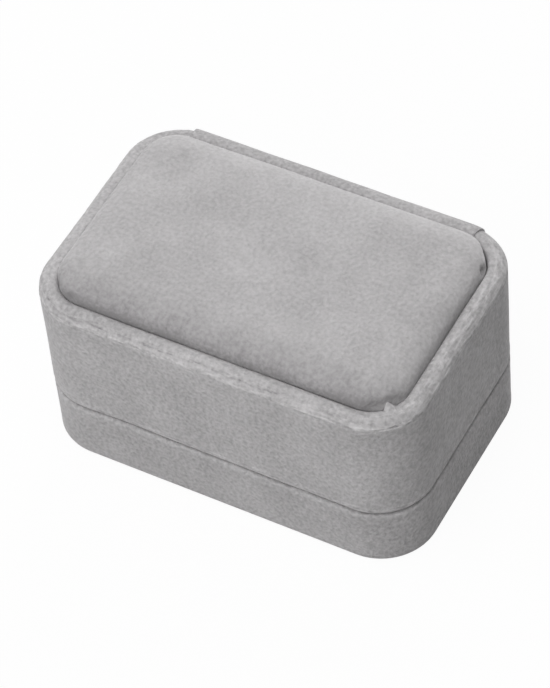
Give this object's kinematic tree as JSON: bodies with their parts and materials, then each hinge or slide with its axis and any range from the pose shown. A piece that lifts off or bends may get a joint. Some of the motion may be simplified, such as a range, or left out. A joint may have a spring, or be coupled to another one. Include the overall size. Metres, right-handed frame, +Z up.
{
  "type": "ring box with hinged lid",
  "caption": "Velvet-covered clamshell box for rings, with a cushioned top panel, a spring hinge along the long back side, a guiding collar and a slotted ring cushion inside.",
  "frame": {"origin": "on the plane the box stands on, below the middle of its plan", "axes": "+X along the long side to the right, -Y to the front, +Z up; the hinge is along the long side at +Y"},
  "size_m": [0.075, 0.0496, 0.0422],
  "materials": {
    "velvet": "short-pile velvet, grey",
    "inner_velvet": "short-pile velvet, lighter grey",
    "flock_paper": "flocked",
    "grey_board": "pressed",
    "foam": "open-cell foam",
    "shell_plastic": "moulded",
    "hinge_steel": "zinc plated",
    "spring_steel": "hardened strip"
  },
  "bodies": {
    "base": {"base_shell": "shell_plastic", "base_velvet_wrap": "velvet", "bottom_card": "grey_board", "bottom_cover": "flock_paper", "collar_card": "grey_board", "collar_velvet": "inner_velvet", "ring_pad_board": "grey_board", "ring_pad_foam": "foam", "ring_pad_velvet": "inner_velvet", "hinge_leaf_lower": "hinge_steel", "hinge_pin": "hinge_steel", "hinge_springs": "spring_steel", "hinge_rivets_lower": "hinge_steel", "hinge_strip_base": "velvet"},
    "lid": {"lid_shell": "shell_plastic", "lid_velvet_wrap": "velvet", "top_pad_board": "grey_board", "top_pad_foam": "foam", "top_pad_velvet": "velvet", "lid_lining_wall": "inner_velvet", "lid_lining_board": "grey_board", "lid_lining_pad": "inner_velvet", "hinge_leaf_upper": "hinge_steel", "hinge_rivets_upper": "hinge_steel", "hinge_strip_lid": "velvet"}
  },
  "joints": [
    {"name": "lid_hinge", "type": "hinge", "parent": "base", "child": "lid", "pos_m": [0, 0.0235, 0.01325], "axis": [-1, 0, 0], "range_deg": [0, 100]}
  ]
}
